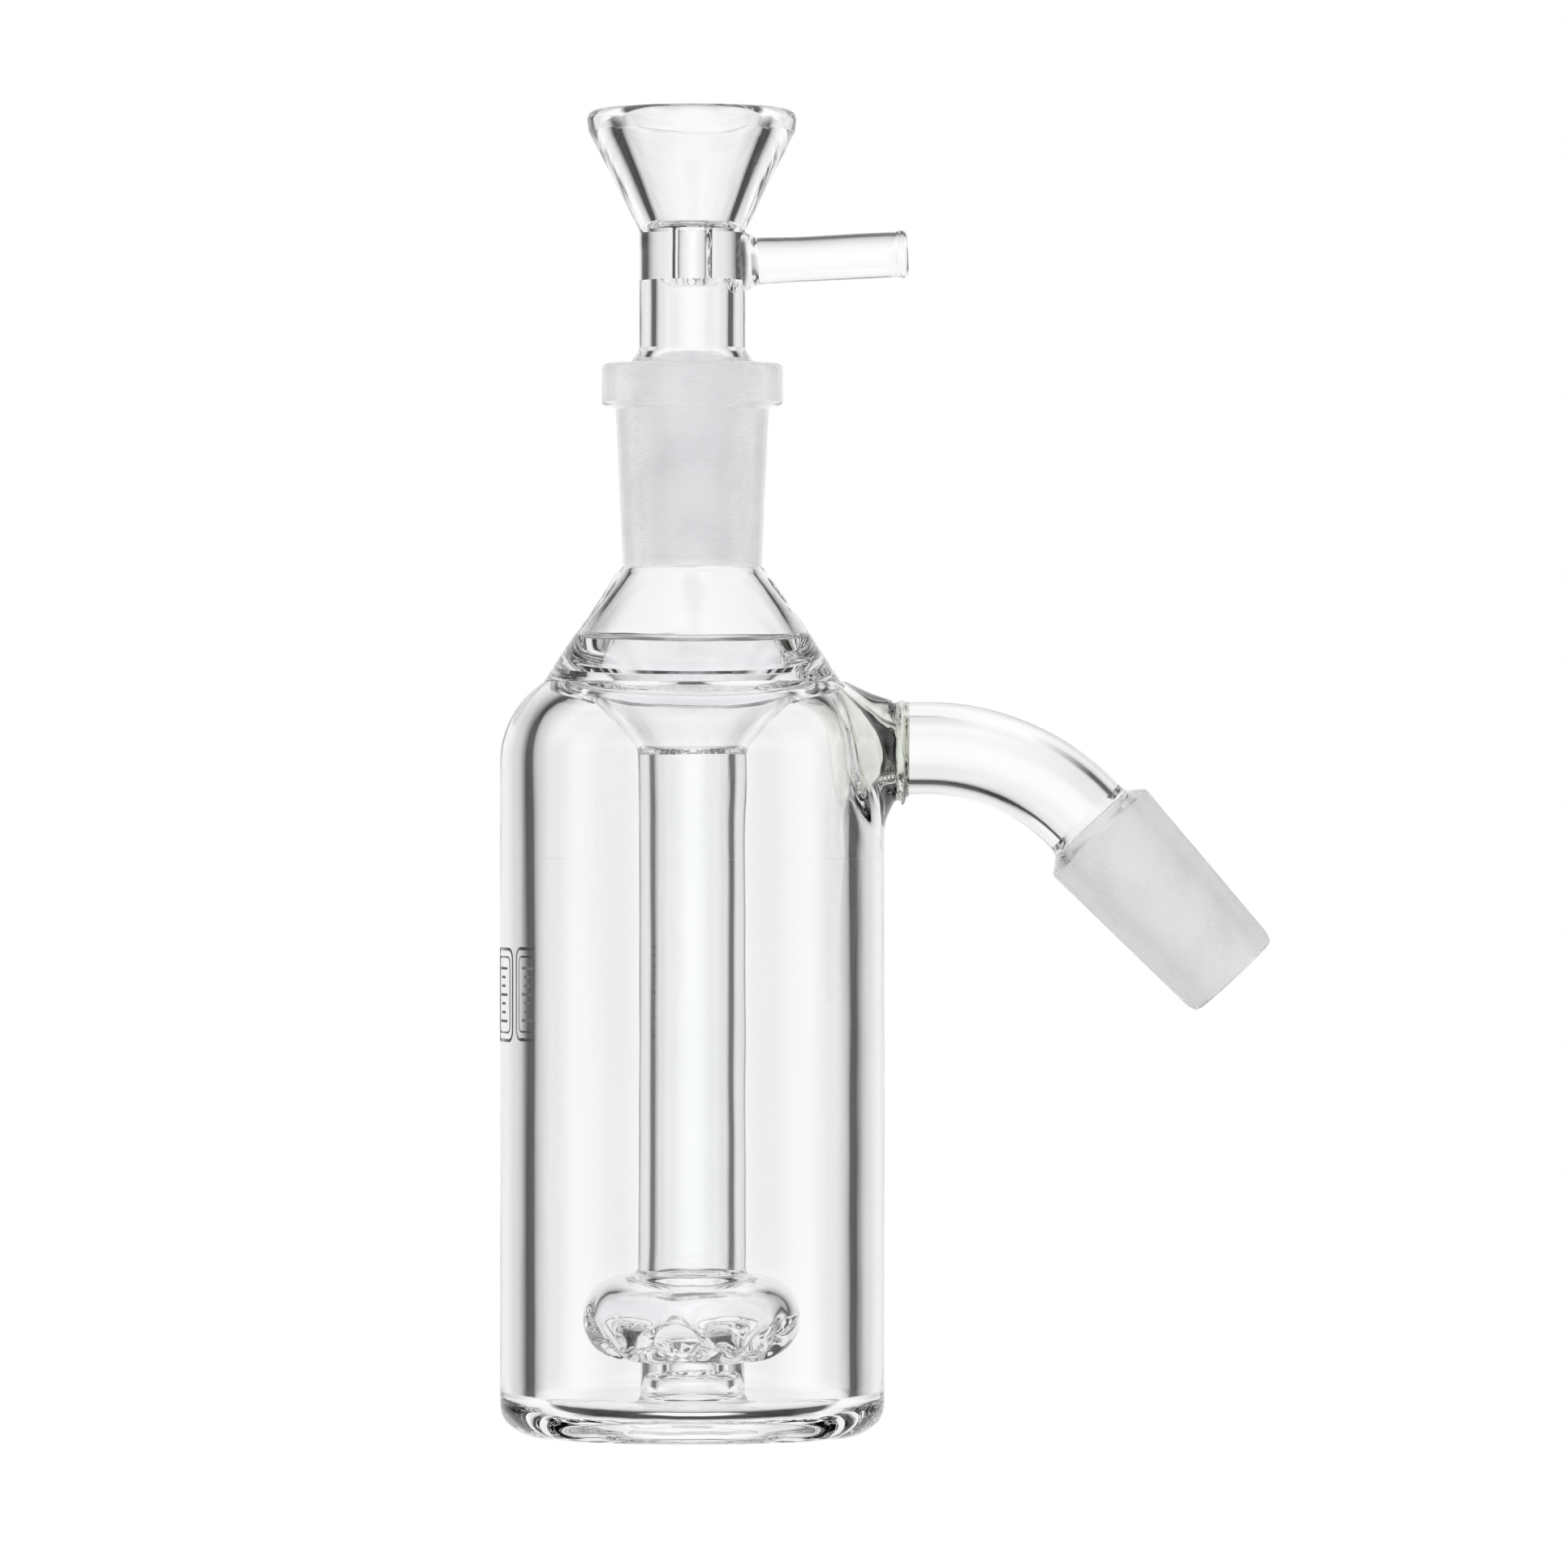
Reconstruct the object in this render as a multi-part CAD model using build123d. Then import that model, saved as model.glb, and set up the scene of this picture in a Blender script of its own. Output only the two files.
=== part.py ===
"""Glass bubbler attachment with a removable cone bowl.

Every blank that a glassblower fuses together is its own solid, cut where its weld seam lies,
so neighbouring pieces meet face to face. The bowl is the one piece that lifts out.

Millimetres. The can's axis is Z and its base stands on z = 0. The side arm points along +X.
"""
import os
from math import cos, radians, sin

from build123d import *

# Standard taper joint 14.5/23: big-end diameter 14.5, taper 1 in 10 on the diameter
TAPER = 1 / 20
JOINT_R = 14.5 / 2
GROUND_CLEARANCE = 0.05

# Can
CAN_R = 22.0
CAN_WALL = 3.9
CAN_BORE_R = CAN_R - CAN_WALL
FLOOR_TOP = 3.0
BASE_EDGE_ROUNDING = 3.7
FLOOR_ROUNDING = 2.0
BASE_SEAM_Z = 6.0
DOME_SEAM_Z = 66.0

# Shoulder dome
DOME_ARC_R = 11.0
DOME_CROWN_Z = 88.0
DOME_TOP_Z = 86.2
DOME_TOP_R = 17.0
DOME_CAVITY_TOP_Z = 81.65
DOME_CAVITY_NECK_Z = 85.15

# Seal ring, where dome, funnel and neck are fused
RING_TOP_Z = 88.4
RING_TOP_R = 15.58
FUNNEL_TOP_BORE_R = 10.85

# Neck cone and inlet socket. The solid foot carries the ring's glass up to the cavity's floor
NECK_CAVITY_FLOOR_Z = 90.5
NECK_CAVITY_FLOOR_EDGE = (12.6, NECK_CAVITY_FLOOR_Z, 0.5)
NECK_CAVITY_LIP = (10.85, NECK_CAVITY_FLOOR_Z, 0.6)
NECK_CAVITY_TOP = (6.9, 98.6, 1.0)
NECK_SHOULDER = (8.65, 98.65, 2.0)
SOCKET_Z = 99.4
SOCKET_TOP_Z = 122.6
SOCKET_BOTTOM_R = 7.95
SOCKET_TUBE_TOP_R = 8.8
SOCKET_BORE_BOTTOM_R = JOINT_R - TAPER * (SOCKET_TOP_Z - SOCKET_Z)
COLLAR_Z = 117.7
COLLAR_R = 10.4
COLLAR_ROUNDING = 0.7
SOCKET_NECK_ROUNDING = 0.5
MOUTH_ROUNDING = 0.3

# Funnel and downstem
STEM_R = 6.13
STEM_BORE_R = 4.15
STEM_BOTTOM_Z = 18.9
STEM_TOP_Z = 77.7
FUNNEL_TOP_R = 12.9

# Percolator bulb and its foot
BULB_R = 12.4
BULB_WALL = 1.7
BULB_BOTTOM_Z = 8.5
BULB_SHOULDER_ROUNDING = 4.6
BULB_SHOULDER_DROP = 0.7
BULB_NECK_WIDTH = 0.6
BULB_NECK_ROUNDING = 0.4
FOOT_R = 6.0
FOOT_BORE_R = 4.05
FOOT_WELD = 2.0
HOLES = 6
HOLE_R = 2.1
HOLE_Z = 12.3
HOLE_TILT = 28.0
HOLE_START_R = 8.6
HOLE_DEPTH = 8.0

# Side arm
ARM_Z = 78.6
ARM_R = 5.3
ARM_BORE_R = 3.7
BOSS_R = 5.65
BOSS_END_X = 24.8
BOSS_START_X = 10.0
BOSS_ROOT_ROUNDING = 3.0
ARM_BORE_START_X = 12.0
BEND_START_X = 26.9
BEND_R = 24.7
BEND_ANGLE = 47.0
FLARE_LENGTH = 2.5
ARM_CONE_LENGTH = 22.5
CONE_BORE_BIG_R = 4.9
CONE_BORE_SMALL_R = 4.2
TIP_ROUNDING = 0.9
TIP_BORE_ROUNDING = 0.54
FLARE_ROUNDING = 0.8

# Bowl
BOWL_CONE_BOTTOM_Z = 100.0
BOWL_CONE_ROUNDING = 0.7
BOWL_CONE_BORE_ROUNDING = 0.4
BOWL_FLARE_TOP_Z = 124.4
BOWL_STEM_R = 6.08
BOWL_STEM_BORE_R = 4.1
THROAT_Z = 132.2
THROAT_TOP_Z = 137.9
THROAT_BORE_R = 1.7
CUP_RIM_Z = 149.2
CUP_TOP_Z = 151.7
CUP_R = 12.35
CUP_RIM_R = 12.0
CUP_BORE_BOTTOM = (3.9, 138.8, 1.2)
CUP_THROAT_Z = 138.4
CUP_BORE_RIM_R = 7.7
CUP_MOUTH_R = 8.45
CUP_BEAD_ROUNDING = 1.2
HANDLE_R = 2.6
HANDLE_Z = 134.03
HANDLE_RISE = 2.7
HANDLE_TIP_START = 23.6
HANDLE_TIP_R = 2.75
HANDLE_TIP_ROUNDING = 0.6
HANDLE_LENGTH = 24.6
HANDLE_WELD_START = 4.0
HANDLE_WELD_R = 4.0
HANDLE_WELD_WAIST = (3.4, 6.6, 1.5)
HANDLE_WELD_END = 8.0


def turned(*corners):
    """Revolve a closed outline about Z. A corner is (radius, height) or (radius, height, rounding)."""
    points = [(corner[0], corner[1]) for corner in corners]
    roundings = [corner[2] if len(corner) == 3 else 0 for corner in corners]
    outline = FilletPolyline(*points, radius=roundings, close=True)
    return revolve(Plane.XZ * make_face(outline), Axis.Z)


def rod_along(start, direction, radius, length):
    """A cylinder that starts at a point and runs along a direction."""
    plane = Plane(origin=start, z_dir=direction)
    return plane.location * Cylinder(radius, length, align=(Align.CENTER, Align.CENTER, Align.MIN))


def base_plate():
    """The thick floor with the rounded foot of the can's wall."""
    return turned(
        (0, 0),
        (CAN_R, 0, BASE_EDGE_ROUNDING),
        (CAN_R, BASE_SEAM_Z),
        (CAN_BORE_R, BASE_SEAM_Z),
        (CAN_BORE_R, FLOOR_TOP, FLOOR_ROUNDING),
        (0, FLOOR_TOP),
    )


def can_wall():
    """The heavy tube of the can."""
    return turned(
        (CAN_BORE_R, BASE_SEAM_Z),
        (CAN_R, BASE_SEAM_Z),
        (CAN_R, DOME_SEAM_Z),
        (CAN_BORE_R, DOME_SEAM_Z),
    )


def dome_core():
    """The dome's outside as a filled shape, carried on up past the seal ring."""
    return turned(
        (0, DOME_SEAM_Z),
        (CAN_R, DOME_SEAM_Z),
        (CAN_R, DOME_CROWN_Z, DOME_ARC_R),
        (0, DOME_CROWN_Z),
    )


def shoulder_dome():
    """The can's shoulder, drawn in to the seal ring, with the side arm's hole."""
    cavity = turned(
        (0, DOME_SEAM_Z),
        (CAN_BORE_R, DOME_SEAM_Z),
        (CAN_BORE_R, DOME_CAVITY_TOP_Z, DOME_ARC_R - CAN_WALL),
        (FUNNEL_TOP_R, DOME_CAVITY_NECK_Z),
        (FUNNEL_TOP_R, DOME_CROWN_Z),
        (0, DOME_CROWN_Z),
    )
    dome = split(dome_core() - cavity, Plane.XY.offset(DOME_TOP_Z), keep=Keep.BOTTOM)
    return dome - arm_bore()


def arm_bore():
    """The passage from the can into the straight part of the arm."""
    return rod_along((ARM_BORE_START_X, 0, ARM_Z), (1, 0, 0), ARM_BORE_R, BOSS_END_X - ARM_BORE_START_X)


def seal_ring():
    """The solid ring where the dome, the funnel and the neck are fused."""
    return turned(
        (FUNNEL_TOP_BORE_R, DOME_TOP_Z),
        (DOME_TOP_R, DOME_TOP_Z),
        (RING_TOP_R, RING_TOP_Z),
        (FUNNEL_TOP_BORE_R, RING_TOP_Z),
    )


def neck_cone():
    """The hollow cone from the seal ring up to the socket."""
    return turned(
        (FUNNEL_TOP_BORE_R, RING_TOP_Z),
        (RING_TOP_R, RING_TOP_Z),
        NECK_SHOULDER,
        (SOCKET_BOTTOM_R, SOCKET_Z),
        (SOCKET_BORE_BOTTOM_R, SOCKET_Z),
        NECK_CAVITY_TOP,
        NECK_CAVITY_FLOOR_EDGE,
        NECK_CAVITY_LIP,
    )


def inlet_socket():
    """The ground female joint with its collar."""
    return turned(
        (SOCKET_BORE_BOTTOM_R, SOCKET_Z),
        (SOCKET_BOTTOM_R, SOCKET_Z),
        (SOCKET_TUBE_TOP_R, COLLAR_Z, SOCKET_NECK_ROUNDING),
        (COLLAR_R, COLLAR_Z, COLLAR_ROUNDING),
        (COLLAR_R, SOCKET_TOP_Z, COLLAR_ROUNDING),
        (JOINT_R, SOCKET_TOP_Z, MOUTH_ROUNDING),
    )


def funnel():
    """The inner cone that leads from the seal ring into the downstem."""
    return turned(
        (STEM_BORE_R, STEM_TOP_Z),
        (STEM_R, STEM_TOP_Z),
        (FUNNEL_TOP_R, DOME_TOP_Z),
        (FUNNEL_TOP_BORE_R, DOME_TOP_Z),
    )


def downstem():
    """The tube down the middle of the can."""
    return turned(
        (STEM_BORE_R, STEM_BOTTOM_Z),
        (STEM_R, STEM_BOTTOM_Z),
        (STEM_R, STEM_TOP_Z),
        (STEM_BORE_R, STEM_TOP_Z),
    )


def percolator_bulb():
    """The flattened bulb with a row of holes round its lower half."""
    shoulder_z = STEM_BOTTOM_Z - BULB_SHOULDER_DROP
    inner_r = BULB_R - BULB_WALL
    inner_rounding = BULB_SHOULDER_ROUNDING - BULB_WALL
    bulb = turned(
        (STEM_BORE_R, STEM_BOTTOM_Z),
        (STEM_R, STEM_BOTTOM_Z),
        (STEM_R + BULB_NECK_WIDTH, shoulder_z, BULB_NECK_ROUNDING),
        (BULB_R, shoulder_z, BULB_SHOULDER_ROUNDING),
        (BULB_R, BULB_BOTTOM_Z, BULB_SHOULDER_ROUNDING),
        (FOOT_BORE_R, BULB_BOTTOM_Z),
        (FOOT_BORE_R, BULB_BOTTOM_Z + BULB_WALL),
        (inner_r, BULB_BOTTOM_Z + BULB_WALL, inner_rounding),
        (inner_r, shoulder_z - BULB_WALL, inner_rounding),
        (STEM_BORE_R, shoulder_z - BULB_WALL),
    )
    for index in range(HOLES):
        azimuth = radians(360 / HOLES * (index + 0.5))
        outward = (cos(azimuth) * cos(radians(HOLE_TILT)), sin(azimuth) * cos(radians(HOLE_TILT)),
                   -sin(radians(HOLE_TILT)))
        start = (HOLE_START_R * cos(azimuth), HOLE_START_R * sin(azimuth), HOLE_Z)
        bulb -= rod_along(start, outward, HOLE_R, HOLE_DEPTH)
    return bulb


def percolator_foot():
    """The short tube that stands the bulb on the can's floor."""
    return turned(
        (FOOT_BORE_R, FLOOR_TOP),
        (FOOT_R, FLOOR_TOP),
        (FOOT_R, BULB_BOTTOM_Z),
        (FOOT_BORE_R, BULB_BOTTOM_Z),
    )


def foot_weld():
    """The fillet of glass between the foot and the floor."""
    with BuildSketch(Plane.XZ) as section:
        with BuildLine():
            Line((FOOT_R, FLOOR_TOP), (FOOT_R + FOOT_WELD, FLOOR_TOP))
            RadiusArc((FOOT_R + FOOT_WELD, FLOOR_TOP), (FOOT_R, FLOOR_TOP + FOOT_WELD), FOOT_WELD)
            Line((FOOT_R, FLOOR_TOP + FOOT_WELD), (FOOT_R, FLOOR_TOP))
        make_face()
    return revolve(section.sketch, Axis.Z)


def arm_boss():
    """The stub that carries the arm, blended into the dome."""
    stub = rod_along((BOSS_START_X, 0, ARM_Z), (1, 0, 0), BOSS_R, BOSS_END_X - BOSS_START_X)
    blended = dome_core() + stub
    root_edges = [edge for edge in blended.edges() if edge.geom_type == GeomType.BSPLINE]
    blended = fillet(root_edges, BOSS_ROOT_ROUNDING)
    neck = turned((0, DOME_TOP_Z), (DOME_TOP_R, DOME_TOP_Z), (RING_TOP_R, RING_TOP_Z), (0, RING_TOP_Z))
    return blended - dome_core() - neck - arm_bore()


def arm_bend():
    """The arm's tube: a short straight, then a bend down towards the ground joint."""
    turn = radians(BEND_ANGLE)
    end = (BEND_START_X + BEND_R * sin(turn), ARM_Z - BEND_R * (1 - cos(turn)))
    middle = (BEND_START_X + BEND_R * sin(turn / 2), ARM_Z - BEND_R * (1 - cos(turn / 2)))
    path = Wire([
        Edge.make_line((BOSS_END_X, 0, ARM_Z), (BEND_START_X, 0, ARM_Z)),
        Edge.make_three_point_arc(
            (BEND_START_X, 0, ARM_Z), (middle[0], 0, middle[1]), (end[0], 0, end[1])
        ),
    ])
    start_plane = Plane(origin=(BOSS_END_X, 0, ARM_Z), z_dir=(1, 0, 0))
    outer = sweep(start_plane * Circle(ARM_R), path=path)
    bore = sweep(start_plane * Circle(ARM_BORE_R), path=path)
    return outer - bore


def arm_end_location():
    """The end of the bend, with local Z running on down the arm."""
    turn = radians(BEND_ANGLE)
    end = (BEND_START_X + BEND_R * sin(turn), 0, ARM_Z - BEND_R * (1 - cos(turn)))
    return Plane(origin=end, x_dir=(0, 1, 0), z_dir=(cos(turn), 0, -sin(turn))).location


def arm_flare():
    """The clear flare that opens the arm's tube out to the ground joint."""
    return arm_end_location() * turned(
        (ARM_BORE_R, 0),
        (ARM_R, 0),
        (ARM_R, FLARE_ROUNDING, FLARE_ROUNDING),
        (JOINT_R, FLARE_LENGTH),
        (CONE_BORE_BIG_R, FLARE_LENGTH),
    )


def arm_ground_cone():
    """The ground male joint at the arm's end, with a fire-polished tip."""
    tip_z = FLARE_LENGTH + ARM_CONE_LENGTH
    return arm_end_location() * turned(
        (CONE_BORE_BIG_R, FLARE_LENGTH),
        (JOINT_R, FLARE_LENGTH),
        (JOINT_R - TAPER * ARM_CONE_LENGTH, tip_z, TIP_ROUNDING),
        (CONE_BORE_SMALL_R, tip_z, TIP_BORE_ROUNDING),
    )


def bowl_ground_cone():
    """The bowl's ground male joint, which sits in the socket with a running clearance."""
    big_r = JOINT_R - GROUND_CLEARANCE
    return turned(
        (CONE_BORE_SMALL_R, BOWL_CONE_BOTTOM_Z, BOWL_CONE_BORE_ROUNDING),
        (big_r - TAPER * (SOCKET_TOP_Z - BOWL_CONE_BOTTOM_Z), BOWL_CONE_BOTTOM_Z, BOWL_CONE_ROUNDING),
        (big_r, SOCKET_TOP_Z),
        (CONE_BORE_BIG_R, SOCKET_TOP_Z),
    )


def bowl_flare():
    """The clear flare between the ground joint and the bowl's stem."""
    return turned(
        (CONE_BORE_BIG_R, SOCKET_TOP_Z),
        (JOINT_R - GROUND_CLEARANCE, SOCKET_TOP_Z),
        (BOWL_STEM_R, BOWL_FLARE_TOP_Z - FLARE_ROUNDING / 2, FLARE_ROUNDING),
        (BOWL_STEM_R, BOWL_FLARE_TOP_Z),
        (BOWL_STEM_BORE_R, BOWL_FLARE_TOP_Z),
    )


def bowl_stem():
    """The bowl's stem tube, closed in at its top by the throat."""
    return turned(
        (BOWL_STEM_BORE_R, BOWL_FLARE_TOP_Z),
        (BOWL_STEM_R, BOWL_FLARE_TOP_Z),
        (BOWL_STEM_R, THROAT_Z),
        (BOWL_STEM_BORE_R, THROAT_Z),
    )


def bowl_throat():
    """The thick-walled piece with the narrow passage between cup and stem."""
    return turned(
        (THROAT_BORE_R, THROAT_Z),
        (BOWL_STEM_R, THROAT_Z),
        (BOWL_STEM_R, THROAT_TOP_Z),
        (THROAT_BORE_R, THROAT_TOP_Z),
    )


def bowl_cup():
    """The conical cup."""
    return turned(
        (THROAT_BORE_R, THROAT_TOP_Z),
        (BOWL_STEM_R, THROAT_TOP_Z),
        (CUP_RIM_R, CUP_RIM_Z),
        (CUP_BORE_RIM_R, CUP_RIM_Z),
        CUP_BORE_BOTTOM,
        (THROAT_BORE_R, CUP_THROAT_Z),
    )


def bowl_rim():
    """The rounded bead round the cup's mouth."""
    return turned(
        (CUP_BORE_RIM_R, CUP_RIM_Z),
        (CUP_RIM_R, CUP_RIM_Z),
        (CUP_R, CUP_TOP_Z, CUP_BEAD_ROUNDING),
        (CUP_MOUTH_R, CUP_TOP_Z, CUP_BEAD_ROUNDING),
    )


def handle_axis():
    """The handle's start on the bowl's axis and its direction, rising a little outwards."""
    rise = radians(HANDLE_RISE)
    return (0, 0, HANDLE_Z), (cos(rise), 0, sin(rise))


def stem_core():
    """The filled outside of the stem, throat and cup that the handle is welded to."""
    return turned(
        (0, BOWL_FLARE_TOP_Z),
        (BOWL_STEM_R, BOWL_FLARE_TOP_Z),
        (BOWL_STEM_R, THROAT_TOP_Z),
        (CUP_RIM_R, CUP_RIM_Z),
        (0, CUP_RIM_Z),
    )


def handle_rod():
    """The solid rod handle."""
    start, direction = handle_axis()
    return rod_along(start, direction, HANDLE_R, HANDLE_TIP_START) - stem_core()


def handle_tip():
    """The fire-polished button at the handle's end, a little wider than the rod."""
    start, direction = handle_axis()
    length = HANDLE_LENGTH - HANDLE_TIP_START
    button = Location((0, 0, HANDLE_TIP_START)) * turned(
        (0, 0), (HANDLE_TIP_R, 0), (HANDLE_TIP_R, length, HANDLE_TIP_ROUNDING), (0, length),
    )
    return Plane(origin=start, z_dir=direction).location * button


def handle_weld():
    """The collar of glass where the handle meets the throat."""
    start, direction = handle_axis()
    plane = Plane(origin=start, z_dir=direction)
    collar = plane.location * turned(
        (0, HANDLE_WELD_START),
        (HANDLE_WELD_R, HANDLE_WELD_START),
        HANDLE_WELD_WAIST,
        (HANDLE_R, HANDLE_WELD_END),
        (0, HANDLE_WELD_END),
    )
    rod = rod_along(start, direction, HANDLE_R, HANDLE_LENGTH)
    return collar - rod - stem_core()


PIECES = [
    base_plate, can_wall, shoulder_dome, seal_ring, neck_cone, inlet_socket,
    funnel, downstem, percolator_bulb, percolator_foot, foot_weld,
    arm_boss, arm_bend, arm_flare, arm_ground_cone,
    bowl_ground_cone, bowl_flare, bowl_stem, bowl_throat, bowl_cup, bowl_rim,
    handle_rod, handle_tip, handle_weld,
]

os.makedirs("parts", exist_ok=True)
for piece in PIECES:
    export_step(piece(), f"parts/{piece.__name__}.step")
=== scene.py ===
"""Looks of a glass bubbler attachment with a removable cone bowl.

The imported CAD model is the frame. Every glass blank becomes its own piece: most are turned from an
outline. The percolator bulb, the shoulder dome and the arm's boss are skinned from distance fields.
Outlines are in millimetres, and the meshes in metres.
"""
from math import ceil, cos, degrees, pi, radians, sin, tan

import bmesh
import bpy
import numpy as np
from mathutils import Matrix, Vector


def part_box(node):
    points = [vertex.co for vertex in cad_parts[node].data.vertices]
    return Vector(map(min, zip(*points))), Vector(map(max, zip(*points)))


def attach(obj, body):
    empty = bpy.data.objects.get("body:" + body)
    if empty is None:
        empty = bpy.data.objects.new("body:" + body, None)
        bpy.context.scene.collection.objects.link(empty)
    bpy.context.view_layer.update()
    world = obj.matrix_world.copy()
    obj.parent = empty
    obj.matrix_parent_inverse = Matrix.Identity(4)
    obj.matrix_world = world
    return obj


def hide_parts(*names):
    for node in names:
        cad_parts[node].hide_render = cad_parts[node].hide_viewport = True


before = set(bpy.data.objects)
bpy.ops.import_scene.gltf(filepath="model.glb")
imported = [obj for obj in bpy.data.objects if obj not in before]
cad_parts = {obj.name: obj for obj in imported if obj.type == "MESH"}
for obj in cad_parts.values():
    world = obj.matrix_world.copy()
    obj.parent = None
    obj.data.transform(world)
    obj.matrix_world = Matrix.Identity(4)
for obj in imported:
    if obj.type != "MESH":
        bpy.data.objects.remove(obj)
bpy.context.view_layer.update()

MM = 0.001
TURN_STEPS = 288
EDGE_STEP = 1.5
ARC_STEP = 6.0
SHARP_ANGLE = radians(32)

# ---------------------------------------------------------------- sizes, from the frame


def low(node):
    """A node's lowest height, in millimetres."""
    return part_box(node)[0].z / MM


def high(node):
    """A node's highest height, in millimetres."""
    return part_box(node)[1].z / MM


def reach(node):
    """A node's greatest distance from the Z axis, in millimetres, for a turned node."""
    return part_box(node)[1].y / MM


CAN_R = reach("can_wall")
CAN_BORE_R = CAN_R - 3.9
BASE_HOLLOW = 0.6
BASE_EDGE_ROUNDING = 3.7
FLOOR_FILLET = 2.1
FLOOR_RIPPLE = 0.1
BASE_SEAM = high("base_plate")
FLOOR_TOP = low("percolator_foot")
DOME_SEAM = high("can_wall")
DOME_TOP = high("shoulder_dome")
RING_R = reach("seal_ring")
RING_TOP = high("seal_ring")
RING_TOP_R = reach("neck_cone")
NECK_FLOOR = RING_TOP + 2.1
NECK_FLOOR_R = 12.6
NECK_TOP_R = 8.65
NECK_BORE_R = 6.9
SOCKET_Z = high("neck_cone")
SOCKET_TOP = high("inlet_socket")
COLLAR_R = reach("inlet_socket")
COLLAR_Z = SOCKET_TOP - 4.9
COLLAR_ROUNDING = 0.7
SOCKET_BOTTOM_R = 7.95
SOCKET_TUBE_R = 8.8
JOINT_R = 7.25
TAPER = 1 / 20
SOCKET_BORE_R = JOINT_R - TAPER * (SOCKET_TOP - SOCKET_Z)

STEM_R = reach("downstem")
STEM_BORE_R = 4.15
STEM_BOTTOM = low("downstem")
STEM_TOP = high("downstem")
FUNNEL_R = reach("funnel")
FUNNEL_BORE_R = 10.85
FUNNEL_FOOT_R = 5.2
BULB_R = reach("percolator_bulb")
BULB_BOTTOM = low("percolator_bulb")
BULB_MIDDLE = BULB_BOTTOM + 5.05
BULB_ROUND = 4.6
BULB_FLAT = 0.25
BULB_WALL = 1.5
LOWER_WALL = 0.9
# Each hole's azimuth in degrees, radius, and lift above the ring of holes
HOLES = [
    (261, 2.3, -0.3),
    (318, 2.0, -0.3),
    (20, 2.2, -0.5),
    (66, 1.6, 0.2),
    (138, 1.7, -0.6),
    (204, 2.2, -0.2),
]
HOLE_TILT = radians(38)
HOLE_START_R = 8.4
HOLE_START_Z = 12.6
HOLE_ROUNDING = 2.2
FOOT_R = reach("percolator_foot")
FOOT_BORE_R = 4.05
FOOT_MOUTH_R = 2.7
FOOT_ROUNDING = 1.2
WELD = 2.0
WELD_STEPS = 6

ARM_Z = 78.6
ARM_R = reach("arm_bend")
ARM_BORE_R = 3.7
BOSS_R = 5.5
BOSS_FOOT_R = 7.2
BOSS_FILLET = 4.2
BOSS_RIDGE_X = 24.15
BOSS_GROOVE_X = 23.2
BOSS_BULGE_X = 23.4
DOME_ROUND = 11
DOME_ROUND_Z = 77
DOME_INNER_ROUND = 7.1
DOME_THINNING = 0.75
BOSS_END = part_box("arm_bend")[0].x / MM
BEND_START = 26.9
BEND_R = 24.7
BEND_ANGLE = radians(47)
BEND_END = BEND_START + BEND_R * BEND_ANGLE
FLARE = 2.5
ARM_CONE = 22.5
CONE_BORE_R = 4.9
CONE_TIP = 1.2
CONE_TIP_BORE_R = 4.2

SEAT_BOTTOM = low("bowl_ground_cone")
SEAT_R = reach("bowl_ground_cone")
FLARE_TOP = high("bowl_flare")
BOWL_STEM_R = reach("bowl_stem")
BOWL_BORE_R = 4.1
THROAT_Z = low("bowl_throat")
THROAT_TOP = high("bowl_throat")
THROAT_BORE_R = 1.7
RIM_Z = low("bowl_rim")
CUP_TOP = high("bowl_rim")
CUP_R = reach("bowl_rim")
CUP_WALL_R = CUP_R - 0.35
CUP_MOUTH_R = 7.7
CUP_BEAD_R = 8.45
CUP_FOOT_R = 3.9
HANDLE_Z = 134.03
HANDLE_R = reach("handle_rod")
HANDLE_RISE = radians(2.7)
HANDLE_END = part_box("handle_tip")[1].x / MM
HANDLE_ROOT = 5.7
HANDLE_ROOT_R = 3.6

MARK_AZIMUTH = radians(193)
MARK_Z = 50.5

# ---------------------------------------------------------------- unevenness of hand-worked glass

rng = np.random.default_rng(7)
WAVES = rng.normal(size=(9, 3))
PHASES = rng.uniform(0, 2 * pi, size=(9, 3))


def swell(points, size):
    """Smooth vector noise about 1 high, with features about size millimetres across."""
    angles = points @ WAVES.T * (2.2 / size)
    return np.stack([np.sin(angles + PHASES[:, axis]).sum(1) for axis in range(3)], 1) / 3


def fade(value, start, end):
    """0 before start, 1 after end, and smooth between."""
    t = np.clip((value - start) / (end - start), 0, 1)
    return t * t * (3 - 2 * t)


# Shallow dents in the neck: each one's middle, and its size
DENTS = [
    (-10.6, -1.5, 96.0, 1.4),
    (-12.0, -1.0, 93.6, 1.0),
    (11.0, -1.0, 95.6, 1.3),
    (11.8, 0.5, 93.9, 0.9),
]
DENT_DEPTH = 0.35


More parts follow.
